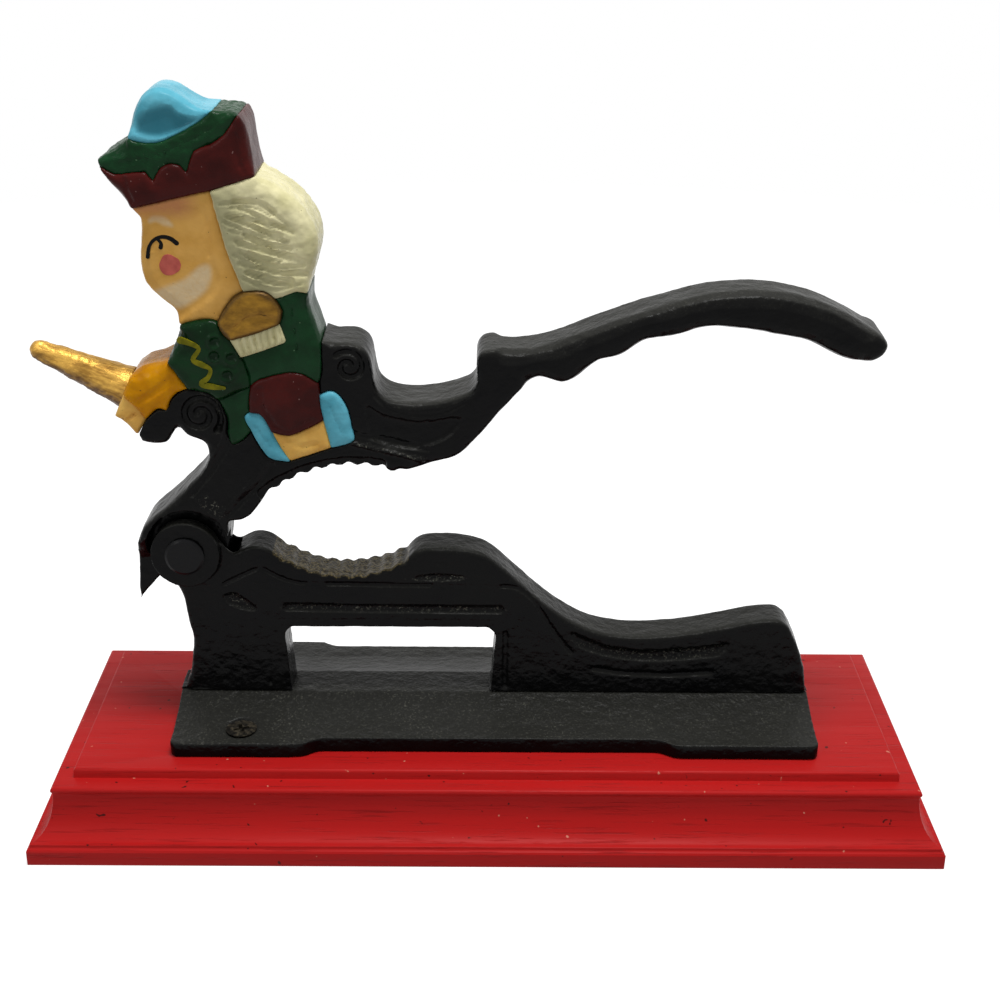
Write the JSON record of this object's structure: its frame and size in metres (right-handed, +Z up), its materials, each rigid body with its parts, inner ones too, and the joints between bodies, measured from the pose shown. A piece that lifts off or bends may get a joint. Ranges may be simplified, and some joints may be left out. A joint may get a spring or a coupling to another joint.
{
  "type": "lever nutcracker press",
  "caption": "Cast lever nutcracker press on a moulded wooden plinth, its lever cast with a painted toy-soldier figure.",
  "frame": {"origin": "centre of the plinth's underside, on the surface it stands on", "axes": "+X along the plinth from the pivot end to the handle end, +Y from the front side to the back side, +Z up"},
  "size_m": [0.28, 0.102, 0.2258],
  "materials": {
    "red_wood": "brushed red enamel over open-grain hardwood, satin",
    "black_enamel": "gloss black enamel over sand-cast iron",
    "rivet_steel": "black enamelled steel rivet",
    "screw_steel": "black oxide steel",
    "sky_blue_paint": "glossy hobby enamel on cast iron",
    "dark_green_paint": "glossy hobby enamel on cast iron",
    "maroon_paint": "glossy hobby enamel on cast iron",
    "cream_paint": "glossy hobby enamel on cast iron",
    "flesh_paint": "glossy hobby enamel on cast iron",
    "old_gold_paint": "dull gold paint on cast iron",
    "yellow_paint": "glossy hobby enamel on cast iron",
    "gold_paint": "metallic gold paint on cast iron"
  },
  "bodies": {
    "stand": {"plinth": "red_wood", "stand": "black_enamel", "pivot_rivet": "rivet_steel", "screw_front": "screw_steel", "screw_rear": "screw_steel"},
    "lever": {"lever": "black_enamel", "hat_crown": "sky_blue_paint", "hat_top": "dark_green_paint", "hat_band": "maroon_paint", "hair": "cream_paint", "head": "flesh_paint", "epaulette": "old_gold_paint", "epaulette_fringe": "cream_paint", "jacket": "dark_green_paint", "sleeve": "dark_green_paint", "cuff": "yellow_paint", "hand": "flesh_paint", "horn": "gold_paint", "breeches": "maroon_paint", "coat_tail": "dark_green_paint", "stocking_front": "sky_blue_paint", "stocking_back": "sky_blue_paint", "knee": "flesh_paint"}
  },
  "joints": [
    {"name": "lever_pivot", "type": "hinge", "parent": "stand", "child": "lever", "pos_m": [-0.0933, 0, 0.0851], "axis": [0, 1, 0], "range_deg": [-31, 20]}
  ]
}
